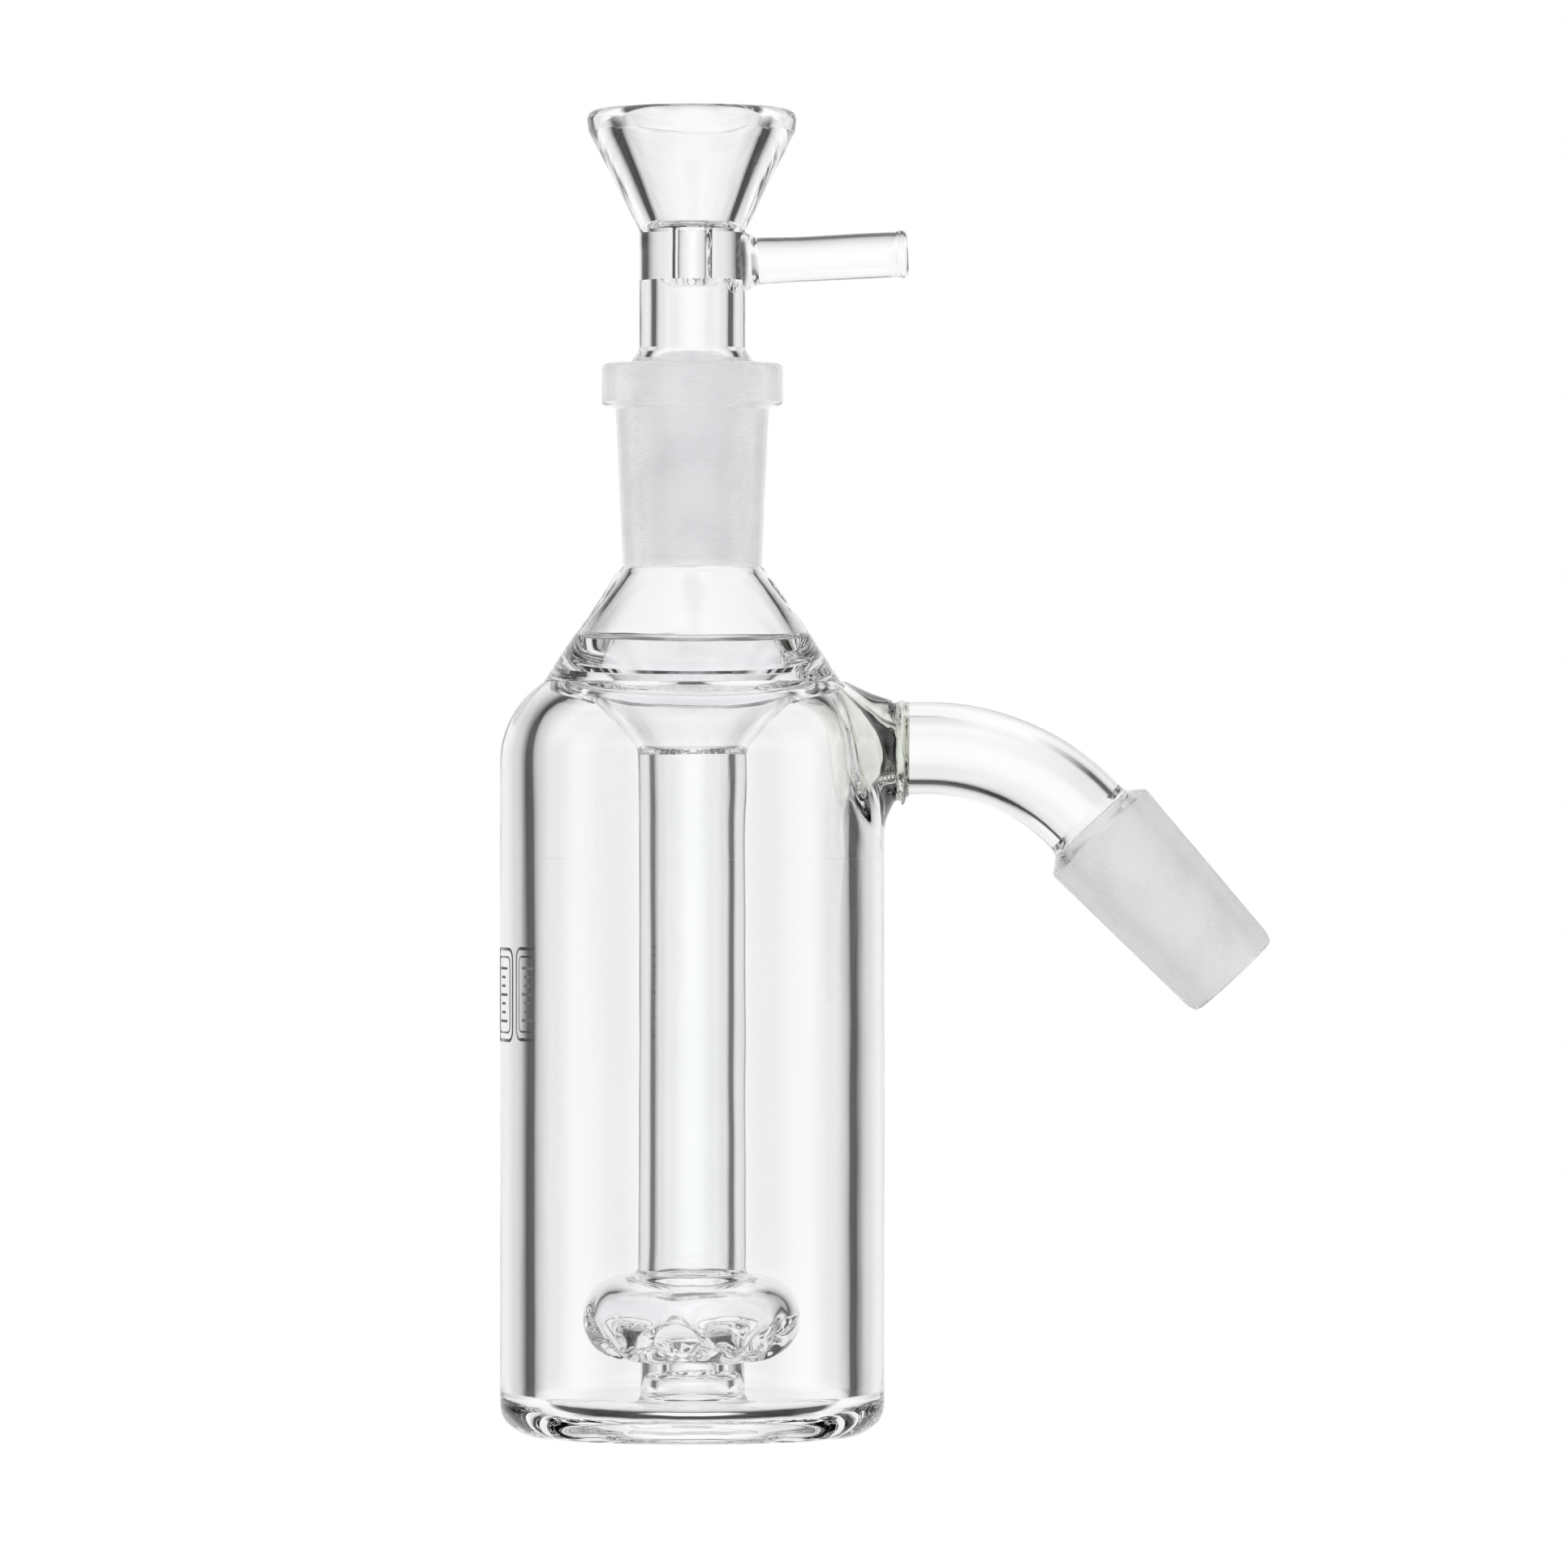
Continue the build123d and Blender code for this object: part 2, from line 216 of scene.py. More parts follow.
def uneven(points):
    """How far the flame moved each point of the bubbler, in millimetres."""
    x, y, z = points.T
    r = np.hypot(x, y)
    inwards = -points * (1, 1, 0) / np.maximum(r, 1)[:, None]
    dents = np.zeros_like(points)
    for *spot, size in DENTS:
        away = ((points - spot) ** 2).sum(1)
        dents += DENT_DEPTH * np.exp(-away / size ** 2)[:, None] * inwards
    neck = fade(z, RING_TOP - 1, RING_TOP + 3) * (1 - fade(z, SOCKET_Z - 2, SOCKET_Z - 0.2))
    dome = fade(z, DOME_SEAM, DOME_SEAM + 8) * (1 - fade(z, RING_TOP - 1, RING_TOP + 3))
    boss = fade(x, 19.5, 22) * (1 - fade(x, BOSS_END - 0.7, BOSS_END)) * fade(z, 66, 71)
    bulb = (1 - fade(z, STEM_BOTTOM - 1, STEM_BOTTOM + 3)) * (1 - fade(r, 13, 15))
    bulb = bulb * fade(z, FLOOR_TOP + 2, BULB_BOTTOM)
    wide = 0.012 + 0.09 * neck + 0.02 * dome + 0.08 * bulb
    still = 1 - fade(z, SOCKET_Z - 2, SOCKET_Z - 0.2)
    still = still * (1 - fade(x, BEND_START, BEND_START + 6))
    still = still * fade(z, 0, BASE_SEAM)
    close = 0.025 * neck + 0.06 * boss
    return dents + (still * wide)[:, None] * swell(points, 9) + close[:, None] * swell(points, 2.6)


def bowl_uneven(points):
    """How far the flame moved each point of the bowl, in millimetres."""
    z = points[:, 2]
    amount = fade(z, FLARE_TOP - 1, FLARE_TOP + 3) * (0.02 + 0.03 * fade(z, THROAT_Z, THROAT_TOP))
    return amount[:, None] * swell(points, 7)


def rigid(points):
    """No movement."""
    return np.zeros_like(points)


# ---------------------------------------------------------------- outlines turned about an axis


def rounded(corners, kind_after):
    """An outline's points with its roundings as arcs, and for each the kind of the edge after it."""
    points, kinds = [], []
    count = len(corners)
    ends = []
    for index, corner in enumerate(corners):
        here = Vector(corner[:2])
        back = (Vector(corners[index - 1][:2]) - here).normalized()
        ahead = (Vector(corners[(index + 1) % count][:2]) - here).normalized()
        if len(corner) == 2:
            ends.append([here])
            continue
        half = back.angle(ahead) / 2
        centre = here + (back + ahead).normalized() * corner[2] / sin(half)
        start = here + back * corner[2] / tan(half) - centre
        end = here + ahead * corner[2] / tan(half) - centre
        turn = pi - 2 * half
        steps = max(3, ceil(degrees(turn) / ARC_STEP))
        arc = [(start * sin((1 - s / steps) * turn) + end * sin(s / steps * turn)) / sin(turn)
               for s in range(steps + 1)]
        ends.append([centre + spoke for spoke in arc])
    for index, arc in enumerate(ends):
        points += arc
        kinds += [0] * (len(arc) - 1) + [kind_after.get(index, 0)]
        target = ends[(index + 1) % count][0]
        steps = ceil((target - arc[-1]).length / EDGE_STEP)
        for step in range(1, steps):
            points.append(arc[-1].lerp(target, step / steps))
            kinds.append(kind_after.get(index, 0))
    return np.array(points), kinds


def upright(radius, angle, height):
    """About the Z axis."""
    return np.stack([radius * np.cos(angle), radius * np.sin(angle), height], -1)


def along_arm(radius, angle, travel):
    """About the arm's centre line. The travel is x along the straight, then the length of the bend."""
    turn = np.clip((travel - BEND_START) / BEND_R, 0, BEND_ANGLE)
    rest = travel - BEND_START - turn * BEND_R
    past = np.maximum(rest, 0)
    centre_x = BEND_START + BEND_R * np.sin(turn) + np.minimum(rest, 0) + past * np.cos(turn)
    centre_z = ARM_Z - BEND_R * (1 - np.cos(turn)) - past * np.sin(turn)
    up = radius * np.cos(angle)
    x = centre_x + up * np.sin(turn)
    z = centre_z + up * np.cos(turn)
    return np.stack([x, radius * np.sin(angle), z], -1)


def along_handle(radius, angle, travel):
    """About the handle's axis, which rises a little outwards."""
    up = radius * np.cos(angle)
    x = travel * cos(HANDLE_RISE) - up * sin(HANDLE_RISE)
    z = HANDLE_Z + travel * sin(HANDLE_RISE) + up * cos(HANDLE_RISE)
    return np.stack([x, radius * np.sin(angle), z], -1)


def turned(corners, fused=(), place=upright, warp=rigid, ground=()):
    """A closed mesh turned from an outline. The edges after the corners in fused are weld seams, and
    those after the corners in ground are ground rough.
    """
    kind_after = {index: 1 for index in fused} | {index: 2 for index in ground}
    outline, kinds = rounded(corners, kind_after)
    count = len(outline)
    angles = np.arange(TURN_STEPS) * 2 * pi / TURN_STEPS
    radius, angle = np.meshgrid(outline[:, 0], angles, indexing="ij")
    height = np.repeat(outline[:, 1:2], TURN_STEPS, 1)
    points = place(radius, angle, height).reshape(-1, 3)
    points = points + warp(points)
    on_axis = outline[:, 0] < 1e-6
    steps = np.arange(TURN_STEPS)
    beside = (steps + 1) % TURN_STEPS
    faces, marks = [], []
    for ring in range(count):
        here, after = ring * TURN_STEPS, (ring + 1) % count * TURN_STEPS
        if on_axis[ring] and outline[(ring + 1) % count, 0] < 1e-6:
            continue
        corners_here = [here + steps, here + beside]
        corners_after = [after + beside, after + steps]
        if on_axis[ring]:
            corners_here = [np.full(TURN_STEPS, here)]
        elif outline[(ring + 1) % count, 0] < 1e-6:
            corners_after = [np.full(TURN_STEPS, after)]
        faces += np.stack(corners_here + corners_after, 1).tolist()
        marks += [kinds[ring]] * TURN_STEPS
    return solid(points, faces, marks)


def solid(points, faces, marks):
    """A bmesh of those faces, in metres, facing outwards, with its corners and seams sharp."""
    mesh = bpy.data.meshes.new("solid")
    mesh.from_pydata(points * MM, [], faces)
    mesh.polygons.foreach_set("material_index", marks)
    mesh.polygons.foreach_set("use_smooth", [True] * len(faces))
    bm = bmesh.new()
    bm.from_mesh(mesh)
    bpy.data.meshes.remove(mesh)
    spare = [vert for vert in bm.verts if not vert.link_faces]
    bmesh.ops.delete(bm, geom=spare, context="VERTS")
    bmesh.ops.recalc_face_normals(bm, faces=bm.faces)
    sharpen(bm)
    return bm


def sharpen(bm):
    """Marks the edges of seams and of real corners as sharp."""
    for edge in bm.edges:
        if len(edge.link_faces) == 2:
            one, other = edge.link_faces
            seam = one.material_index != other.material_index
            edge.smooth = not (seam or edge.calc_face_angle(0) > SHARP_ANGLE)


# ---------------------------------------------------------------- surfaces from distance fields


def join(a, b, blend):
    """The union of two fields, with a fillet about blend across."""
    h = np.clip(0.5 + 0.5 * (b - a) / blend, 0, 1)
    return b + (a - b) * h - blend * h * (1 - h)


def cut(a, b, blend):
    """Field a less field b, with the edge rounded by about blend."""
    return -join(-a, b, blend)


def ray_distance(points, start, direction):
    """Each point's distance from a half line."""
    offset = points - start
    along = np.maximum(offset @ direction, 0)
    return np.linalg.norm(offset - along[:, None] * direction, axis=1)


def slope(field, points, step=0.02):
    """The field's gradient."""
    parts = []
    for axis in range(3):
        shift = np.zeros(3)
        shift[axis] = step
        parts.append((field(points + shift) - field(points - shift)) / (2 * step))
    return np.stack(parts, 1)


SKIN_MARGIN = 1.2
SHOULDER_SKIN_EDGE = 23.4


def skin(field, lowest, highest, cell):
    """The surface where a field is 0 inside a box: its points and its quads."""
    axes = [np.arange(a, b + cell, cell) for a, b in zip(lowest, highest)]
    shape = tuple(len(axis) for axis in axes)
    grid = np.stack(np.meshgrid(*axes, indexing="ij"), -1).reshape(-1, 3)
    inside = (field(grid) < 0).reshape(shape)
    corners = [inside[i:shape[0] - 1 + i, j:shape[1] - 1 + j, k:shape[2] - 1 + k]
               for i in (0, 1) for j in (0, 1) for k in (0, 1)]
    total = np.sum(corners, axis=0)
    mixed = (total > 0) & (total < 8)
    number = np.full(mixed.shape, -1)
    number[mixed] = np.arange(mixed.sum())
    cells = np.argwhere(mixed)
    points = np.array(lowest) + (cells + 0.5) * cell
    for _ in range(5):
        gradient = slope(field, points)
        size = np.maximum((gradient ** 2).sum(1), 0.05)
        move = np.clip(field(points) / size, -cell, cell)
        points = points - move[:, None] * gradient
    quads = []
    for axis in range(3):
        first = np.take(inside, range(shape[axis] - 1), axis)
        second = np.take(inside, range(1, shape[axis]), axis)
        here = np.argwhere(first != second)
        u, v = [other for other in range(3) if other != axis]
        here = here[(here[:, u] > 0) & (here[:, v] > 0)]
        here = here[(here[:, u] < shape[u] - 1) & (here[:, v] < shape[v] - 1)]
        loop = []
        for du, dv in ((0, 0), (1, 0), (1, 1), (0, 1)):
            at = here.copy()
            at[:, u] -= du
            at[:, v] -= dv
            loop.append(number[tuple(at.T)])
        quads.append(np.stack(loop, 1))
    return points, np.concatenate(quads)


def part_along(bm, field):
    """Cuts a mesh's edges and faces exactly where a field of the vertices is 0."""
    bm.verts.ensure_lookup_table()
    values = field(np.array([vert.co for vert in bm.verts]) / MM)
    values[np.abs(values) < 1e-6] = 1e-6
    side = {vert: value for vert, value in zip(bm.verts, values)}
    fresh = set()
    for edge in list(bm.edges):
        a, b = edge.verts
        if side[a] * side[b] < 0:
            _, vert = bmesh.utils.edge_split(edge, a, side[a] / (side[a] - side[b]))
            fresh.add(vert)
    for face in list({face for vert in fresh for face in vert.link_faces}):
        ends = [vert for vert in face.verts if vert in fresh]
        if len(ends) == 2:
            bmesh.utils.face_split(face, ends[0], ends[1])


def keep_where(bm, field):
    """Drops the faces where a field is above 0, and closes the cut with a weld seam."""
    part_along(bm, field)
    bm.faces.ensure_lookup_table()
    centres = np.array([face.calc_center_median() for face in bm.faces]) / MM
    gone = [face for face, value in zip(bm.faces, field(centres)) if value > 0]
    border = {edge for face in gone for edge in face.edges}
    bmesh.ops.delete(bm, geom=gone, context="FACES")
    rim = [edge for edge in border if edge.is_valid and edge.is_boundary]
    made = bmesh.ops.bridge_loops(bm, edges=rim)
    for face in made["faces"]:
        face.material_index = 1
    return bm


def skinned(field, lowest, highest, cell):
    """A bmesh of a field's surface."""
    points, quads = skin(field, lowest, highest, cell)
    return solid(points, quads.tolist(), [0] * len(quads))


# ---------------------------------------------------------------- materials


GLASS_IOR = 1.473


def nodes_of(name):
    """A new node material, its tree and its output node."""
    material = bpy.data.materials.new(name)
    material.use_nodes = True
    tree = material.node_tree
    tree.nodes.clear()
    return material, tree, tree.nodes.new("ShaderNodeOutputMaterial")


def add(tree, kind, inputs=(), **settings):
    """A node with its settings and inputs. An input is a value, or an output socket to link."""
    node = tree.nodes.new(kind)
    for key, value in settings.items():
        setattr(node, key, value)
    for key, value in dict(inputs).items():
        if isinstance(value, bpy.types.NodeSocket):
            tree.links.new(value, node.inputs[key])
        else:
            node.inputs[key].default_value = value
    return node


def noise(tree, stretch, scale, detail=3.0):
    """Noise in the object's own coordinates, stretched along each axis. The scale is per metre."""
    place = add(tree, "ShaderNodeTexCoord").outputs["Object"]
    mapped = add(tree, "ShaderNodeMapping", {"Vector": place, "Scale": stretch})
    return add(tree, "ShaderNodeTexNoise",
               {"Vector": mapped.outputs[0], "Scale": scale, "Detail": detail}).outputs["Fac"]


def ramp(tree, value, stops):
    """A colour ramp. A stop is (position, colour)."""
    node = add(tree, "ShaderNodeValToRGB", {"Fac": value})
    elements = node.color_ramp.elements
    elements[0].position, elements[0].color = stops[0]
    elements[1].position, elements[1].color = stops[-1]
    for position, colour in stops[1:-1]:
        elements.new(position).color = colour
    return node.outputs["Color"]


def clear_glass(name, pale, deep, stretch, ripple):
    """Clear borosilicate: a faint tint that drifts, a trace of haze, and drawn or blown ripples."""
    material, tree, output = nodes_of(name)
    tint = ramp(tree, noise(tree, (1, 1, 1), 60), [(0.35, (*deep, 1)), (0.65, (*pale, 1))])
    haze = add(tree, "ShaderNodeMapRange",
               {"Value": noise(tree, (1, 1, 1), 180), "From Min": 0.55, "From Max": 0.8,
                "To Min": 0.0, "To Max": 0.03}).outputs[0]
    bump = add(tree, "ShaderNodeBump",
               {"Height": noise(tree, stretch, 150, 2.0), "Strength": ripple, "Distance": 0.0004})
    glass = add(tree, "ShaderNodeBsdfPrincipled",
                {"Base Color": tint, "Roughness": haze, "Normal": bump.outputs[0]})
    glass.inputs["IOR"].default_value = GLASS_IOR
    glass.inputs["Transmission Weight"].default_value = 1.0
    tree.links.new(glass.outputs[0], output.inputs[0])
    return material


def ground_glass(name, stretch, scale, depth, dark, light):
    """Ground glass: translucent white between a dark and a light tone, with the grinding's lines or
    grain as tone and relief.
    """
    material, tree, output = nodes_of(name)
    grain = noise(tree, stretch, scale, 4.0)
    cloud = noise(tree, (1, 1, 0.6), 220, 2.0)
    both = add(tree, "ShaderNodeMath", {0: grain, 1: cloud}, operation="ADD").outputs[0]
    tone = ramp(tree, both,
                [(0.8, (dark, dark, dark + 0.01, 1)), (1.15, (light, light, light + 0.005, 1))])
    rough = add(tree, "ShaderNodeMapRange",
                {"Value": grain, "From Min": 0.3, "From Max": 0.7, "To Min": 0.42, "To Max": 0.56})
    bump = add(tree, "ShaderNodeBump", {"Height": grain, "Strength": depth, "Distance": 0.0001})
    glass = add(tree, "ShaderNodeBsdfPrincipled",
                {"Base Color": tone, "Roughness": rough.outputs[0], "Normal": bump.outputs[0]})
    glass.inputs["IOR"].default_value = GLASS_IOR
    glass.inputs["Transmission Weight"].default_value = 0.6
    tree.links.new(glass.outputs[0], output.inputs[0])
    return material


def fused_seam():
    """Inside a weld the glass runs through, so nothing shows."""
    material, tree, output = nodes_of("fused_seam")
    clear = add(tree, "ShaderNodeBsdfTransparent")
    tree.links.new(clear.outputs[0], output.inputs[0])
    return material


def print_ink():
    """Fired grey print, a little broken up."""
    material, tree, output = nodes_of("print_ink")
    tone = ramp(tree, noise(tree, (1, 1, 1), 2500),
                [(0.3, (0.03, 0.03, 0.035, 1)), (0.7, (0.10, 0.10, 0.11, 1))])
    ink = add(tree, "ShaderNodeBsdfPrincipled", {"Base Color": tone, "Roughness": 0.45})
    tree.links.new(ink.outputs[0], output.inputs[0])
    return material


CLEAR = (0.995, 0.997, 0.997)
SEAM = fused_seam()
GLASS = {
    "base_glass": clear_glass("base_glass", CLEAR, (0.985, 0.99, 0.99), (1, 1, 1), 0.15),
    "can_glass": clear_glass("can_glass", (0.989, 0.99, 0.992), (0.982, 0.984, 0.987), (1, 1, 0.12), 0.10),
    "seal_glass": clear_glass("seal_glass", CLEAR, (0.91, 0.90, 0.97), (1, 1, 1), 0.1),
    "neck_glass": clear_glass("neck_glass", CLEAR, (0.985, 0.985, 0.995), (1, 1, 1), 0.12),
    "inner_glass": clear_glass("inner_glass", CLEAR, (0.99, 0.993, 0.993), (1, 1, 0.12), 0.05),
    "percolator_glass": clear_glass("percolator_glass", CLEAR, (0.985, 0.985, 0.995), (1, 1, 1), 0.06),
    "arm_glass": clear_glass("arm_glass", CLEAR, (0.985, 0.99, 0.98), (1, 1, 1), 0.06),
    "bowl_glass": clear_glass("bowl_glass", CLEAR, (0.985, 0.985, 0.995), (1, 1, 0.4), 0.08),
    "handle_glass": clear_glass("handle_glass", CLEAR, (0.99, 0.993, 0.993), (0.3, 1, 1), 0.08),
    "ground_socket": clear_glass("socket_outside", CLEAR, (0.985, 0.985, 0.99), (1, 1, 4), 0.06),
    "ground_cone": clear_glass("cone_inside", CLEAR, (0.985, 0.985, 0.99), (1, 1, 1), 0.05),
    "ground_bowl_cone": clear_glass("bowl_cone_inside", CLEAR, (0.985, 0.985, 0.99), (1, 1, 1), 0.05),
}
# The boss's glass has a darker olive tint. Part of it is the weld glass's own colour, and part is painted
# shade standing in for the dark that refraction gives the boss.
BOSS_TINT_AND_SHADE = clear_glass("boss_glass_tint_and_painted_shade", (0.87, 0.88, 0.85), (0.68, 0.71, 0.62), (1, 1, 1), 0.1)
GROUND = {
    "ground_socket": ground_glass("ground_socket", (0.3, 0.3, 8), 2600, 0.5, 0.87, 0.96),
    "ground_cone": ground_glass("ground_cone", (1, 1, 1), 5200, 0.6, 0.79, 0.88),
    "ground_bowl_cone": ground_glass("ground_bowl_cone", (0.4, 0.4, 4), 2500, 0.5, 0.82, 0.92),
}


def piece(name, bm, body, slot, *replaced, field=None, glass=None):
    """Turns a bmesh into a piece that rides on a body and stands for CAD nodes."""
    sharpen(bm)
    mesh = bpy.data.meshes.new(name)
    bm.to_mesh(mesh)
    bm.free()
    if field:
        spots = np.array([vert.co for vert in mesh.vertices]) / MM
        normals = slope(field, spots)
        normals /= np.linalg.norm(normals, axis=1, keepdims=True)
        mesh.normals_split_custom_set_from_vertices(normals)
    mesh.materials.append(glass or GLASS[slot])
    mesh.materials.append(SEAM)
    if slot in GROUND:
        mesh.materials.append(GROUND[slot])
    made = bpy.data.objects.new(name, mesh)
    bpy.context.scene.collection.objects.link(made)
    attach(made, body)
    if replaced:
        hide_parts(*replaced)
    return made


# ---------------------------------------------------------------- the can


def base_plate():
    """The thick floor, a little hollow underneath, with a faint ripple round its top."""
    return turned([
        (0, BASE_HOLLOW),
        (9, BASE_HOLLOW - 0.15, 12),
        (15.5, 0.02, 6),
        (CAN_R, 0, BASE_EDGE_ROUNDING),
        (CAN_R, BASE_SEAM),
        (CAN_BORE_R, BASE_SEAM),
        (CAN_BORE_R, FLOOR_TOP - FLOOR_RIPPLE, FLOOR_FILLET),
        (14.5, FLOOR_TOP - FLOOR_RIPPLE, 3),
        (11.5, FLOOR_TOP + 0.8 * FLOOR_RIPPLE, 3),
        (FOOT_R + WELD, FLOOR_TOP),
        (FOOT_MOUTH_R, FLOOR_TOP),
        (0, FLOOR_TOP),
    ], {4, 9}, warp=uneven)


def can_wall():
    """The heavy tube."""
    return turned([
        (CAN_BORE_R, BASE_SEAM),
        (CAN_R, BASE_SEAM),
        (CAN_R, DOME_SEAM),
        (CAN_BORE_R, DOME_SEAM),
    ], {0, 2}, warp=uneven)


def shoulder_field(points):
    """The dome with the arm's boss blown out of its side."""
    points = points - uneven(points)
    x, y, z = points.T
    r = np.hypot(x, y)
    bend = np.hypot(np.maximum(r - DOME_ROUND, 0), np.maximum(z - DOME_ROUND_Z, 0))
    stub_r = BOSS_R + (ARM_R - BOSS_R) * fade(x, BOSS_END - 0.6, BOSS_END)
    low_side = fade(ARM_Z - z, 0, 5)
    stub_r = stub_r + (0.1 + 0.6 * low_side) * np.exp(-((x - BOSS_RIDGE_X) / 0.3) ** 2)
    stub_r = stub_r - 0.3 * np.exp(-((x - BOSS_GROOVE_X) / 0.4) ** 2)
    outwards = np.array([1.0, 0, 0])
    arm = ray_distance(points, np.array([10, 0, ARM_Z]), outwards)
    bore = ray_distance(points, np.array([14, 0, ARM_Z]), outwards)
    outside = join(bend - DOME_ROUND, arm - stub_r, BOSS_FILLET)
    inner_round = DOME_INNER_ROUND + DOME_THINNING * fade(z, DOME_ROUND_Z, DOME_ROUND_Z + 8)
    inside = join(bend - inner_round, r - FUNNEL_R, 0.5)
    bulge = 0.25 * np.exp(-((x - BOSS_BULGE_X) / 0.5) ** 2)
    inside = join(inside, bore - ARM_BORE_R - bulge, 4.0)
    return np.maximum(outside, -inside)


def off_boss(points):
    """Below 0 round the arm's root, out to the edge of the boss's foot."""
    x, y, z = points.T
    return np.maximum(np.hypot(y, z - ARM_Z) - BOSS_FOOT_R, 12 - x)


def shoulder():
    """The whole shoulder, dome and boss, cut at its weld seams."""
    edge = SHOULDER_SKIN_EDGE
    lowest = (-edge, -edge, DOME_SEAM - SKIN_MARGIN)
    highest = (BOSS_END + SKIN_MARGIN, edge, DOME_TOP + SKIN_MARGIN)
    bm = skinned(shoulder_field, lowest, highest, 0.45)
    keep_where(bm, lambda points: DOME_SEAM - points[:, 2])
    keep_where(bm, lambda points: points[:, 2] - DOME_TOP)
    return keep_where(bm, lambda points: points[:, 0] - BOSS_END)


def seal_ring():
    """The solid ring where dome, funnel and neck are fused."""
    return turned([
        (FUNNEL_BORE_R, DOME_TOP),
        (RING_R, DOME_TOP),
        (RING_TOP_R, RING_TOP),
        (FUNNEL_BORE_R, RING_TOP),
    ], {0, 2}, warp=uneven)


def neck_cone():
    """The hollow cone between the seal ring and the socket."""
    return turned([
        (FUNNEL_BORE_R, RING_TOP),
        (RING_TOP_R, RING_TOP),
        (NECK_TOP_R, SOCKET_Z - 0.75, 2.0),
        (SOCKET_BOTTOM_R, SOCKET_Z),
        (SOCKET_BORE_R, SOCKET_Z),
        (NECK_BORE_R, SOCKET_Z - 0.8, 1.0),
        (NECK_FLOOR_R, NECK_FLOOR, 0.5),
        (FUNNEL_BORE_R, NECK_FLOOR, 0.6),
    ], {0, 3}, warp=uneven)


def inlet_socket():
    """The ground female joint with its collar."""
    return turned([
        (SOCKET_BORE_R, SOCKET_Z),
        (SOCKET_BOTTOM_R, SOCKET_Z),
        (SOCKET_TUBE_R, COLLAR_Z, 0.5),
        (COLLAR_R, COLLAR_Z, COLLAR_ROUNDING),
        (COLLAR_R, SOCKET_TOP, COLLAR_ROUNDING),
        (JOINT_R, SOCKET_TOP, 0.3),
    ], {0}, ground={5})


def funnel():
    """The inner cone that leads into the downstem."""
    return turned([
        (STEM_BORE_R, STEM_TOP),
        (STEM_R, STEM_TOP),
        (STEM_R + 0.1, STEM_TOP + 0.5, 0.5),
        (FUNNEL_R, DOME_TOP),
        (FUNNEL_BORE_R, DOME_TOP),
        (FUNNEL_FOOT_R, STEM_TOP + 0.9, 2.0),
    ], {0, 3}, warp=uneven)


def downstem():
    """The tube down the middle."""
    return turned([
        (STEM_BORE_R, STEM_BOTTOM),
        (STEM_R, STEM_BOTTOM),
        (STEM_R, STEM_TOP),
        (STEM_BORE_R, STEM_TOP),
    ], {0, 2}, warp=uneven)


def bulb_field(points):
    """The flattened bulb, its wall pierced and fire polished round the lower half."""
    points = points - uneven(points)
    x, y, z = points.T
    r = np.hypot(x, y)
    sideways = np.maximum(r - (BULB_R - BULB_ROUND), 0)
    flat = np.hypot(sideways, np.maximum(np.abs(z - BULB_MIDDLE) - BULB_FLAT, 0))
    upper = fade(z, BULB_MIDDLE - 1, BULB_MIDDLE + 1)
    column = FOOT_R + (STEM_R - 0.05 - FOOT_R) * upper
    passage = FOOT_MOUTH_R + (STEM_BORE_R - FOOT_MOUTH_R) * upper
    outside = join(flat - BULB_ROUND, r - column, 1.2)
    wall = BULB_WALL + LOWER_WALL * (1 - fade(z, BULB_MIDDLE - 2.5, BULB_MIDDLE + 0.5))
    inside = join(flat - BULB_ROUND + wall, r - passage, 0.8)
    glass = np.maximum(outside, -inside)
    for azimuth, radius, lift in HOLES:
        out = np.array([cos(radians(azimuth)), sin(radians(azimuth)), 0])
        start = out * HOLE_START_R + np.array([0, 0, HOLE_START_Z + lift])
        direction = out * cos(HOLE_TILT) - np.array([0, 0, sin(HOLE_TILT)])
        glass = cut(glass, ray_distance(points, start, direction) - radius, HOLE_ROUNDING)
    return glass


def percolator_bulb():
    """The bulb, cut at its seams with the downstem and the foot."""
    edge = BULB_R + SKIN_MARGIN
    bm = skinned(bulb_field, (-edge, -edge, BULB_BOTTOM - 1), (edge, edge, STEM_BOTTOM + 1), 0.3)
    keep_where(bm, lambda points: BULB_BOTTOM - points[:, 2])
    return keep_where(bm, lambda points: points[:, 2] - STEM_BOTTOM)


def percolator_foot():
    """The short barrel under the bulb, with the weld that spreads from it over the floor."""
    weld = []
    for step in range(WELD_STEPS):
        turn = pi / 2 * step / WELD_STEPS
        weld.append((FOOT_R + WELD - WELD * sin(turn), FLOOR_TOP + WELD - WELD * cos(turn)))
    top = 2 + WELD_STEPS
    return turned([
        (FOOT_MOUTH_R, FLOOR_TOP),
        *weld,
        (FOOT_R, FLOOR_TOP + WELD),
        (FOOT_R, BULB_BOTTOM),
        (FOOT_MOUTH_R, BULB_BOTTOM),
        (FOOT_MOUTH_R, BULB_BOTTOM - 1.0),
        (FOOT_BORE_R, BULB_BOTTOM - 1.5, FOOT_ROUNDING),
        (FOOT_BORE_R, FLOOR_TOP + 0.6, FOOT_ROUNDING),
    ], {0, top}, warp=uneven)


# ---------------------------------------------------------------- the arm


def arm_bend():
    """The arm's tube, from the boss round to the flare."""
    return turned([
        (ARM_BORE_R, BOSS_END),
        (ARM_R, BOSS_END),
        (ARM_R, BEND_END),
        (ARM_BORE_R, BEND_END),
    ], {0, 2}, along_arm, uneven)


def arm_flare():
    """The clear flare that opens the tube out to the ground joint."""
    end = BEND_END + FLARE
    return turned([
        (ARM_BORE_R, BEND_END),
        (ARM_R, BEND_END),
        (ARM_R + 0.15, BEND_END + 0.9, 0.9),
        (JOINT_R - 0.1, end - 0.25, 0.3),
        (JOINT_R, end),
        (CONE_BORE_R, end),
        (CONE_BORE_R - 0.2, end - 0.6, 0.6),
    ], {0, 4}, along_arm)


